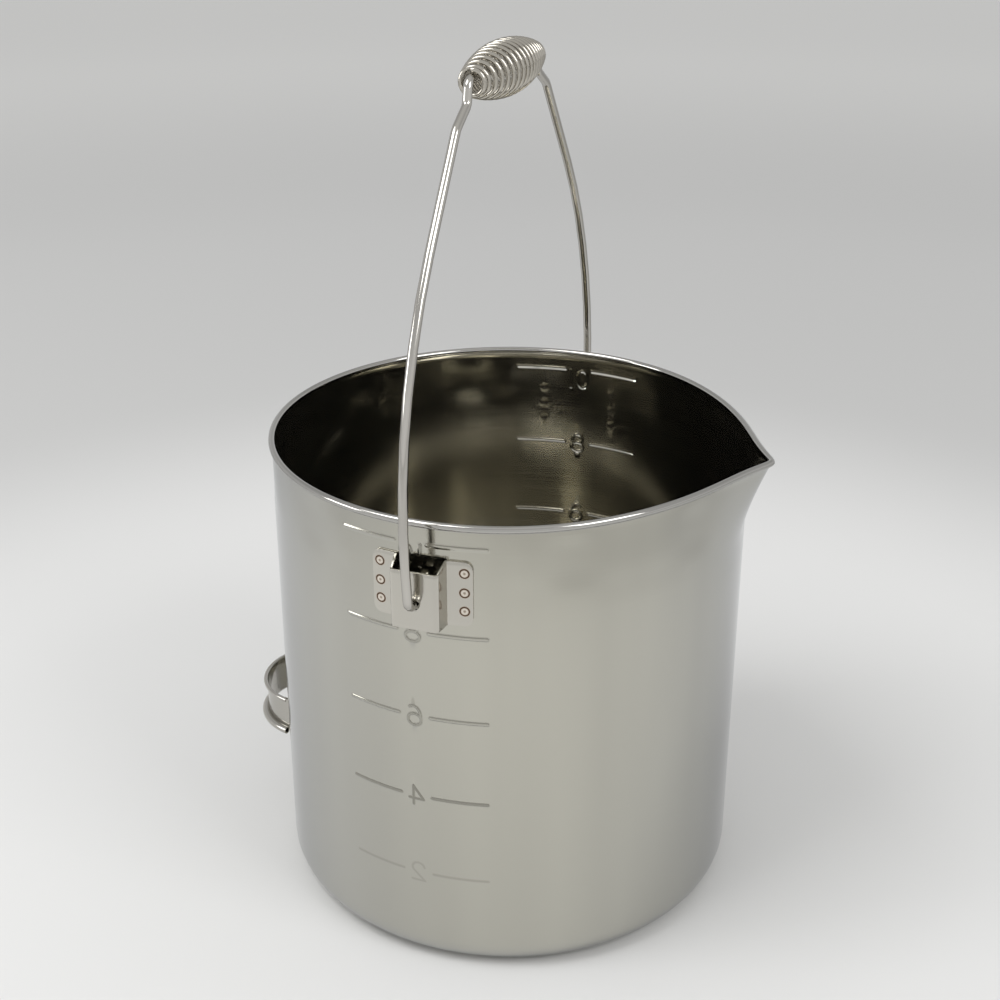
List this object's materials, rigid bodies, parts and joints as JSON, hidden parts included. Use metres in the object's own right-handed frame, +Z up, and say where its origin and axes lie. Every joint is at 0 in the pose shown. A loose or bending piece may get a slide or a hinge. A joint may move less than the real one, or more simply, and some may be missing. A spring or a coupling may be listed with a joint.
{
  "type": "candle melting pot",
  "caption": "Tall round sheet-steel melting pot with pouring spout, rolled rim, wire bail with coil grip held in welded ears, and a low strap handle for tilting.",
  "frame": {"origin": "centre of the base, on the surface the pot stands on", "axes": "+Z up the pot's axis, +X towards the pouring spout, ears and bail pivots along Y, tilt handle at -X; the bail is stored upright"},
  "size_m": [0.2827, 0.2798, 0.4343],
  "materials": {
    "pot_sheet": "satin to mirror polished stainless sheet",
    "ear_sheet": "satin stainless sheet",
    "weld": "heat tinted spot weld",
    "wire": "bright drawn stainless wire",
    "coil": "bright drawn stainless wire"
  },
  "bodies": {
    "pot": {"pot_shell": "pot_sheet", "ear_left": "ear_sheet", "ear_right": "ear_sheet", "ear_welds_left": "weld", "ear_welds_right": "weld", "tilt_handle": "ear_sheet", "tilt_handle_welds": "weld"},
    "bail": {"bail_wire": "wire"},
    "grip": {"grip_coil": "coil"}
  },
  "joints": [
    {"name": "bail_swing", "type": "hinge", "parent": "pot", "child": "bail", "pos_m": [0, 0, 0.2088], "axis": [0, 1, 0], "range_deg": [-130, 141]},
    {"name": "grip_spin", "type": "hinge", "parent": "bail", "child": "grip", "pos_m": [-0.00371, 0, 0.42132], "axis": [0, 1, 0], "continuous": true}
  ]
}
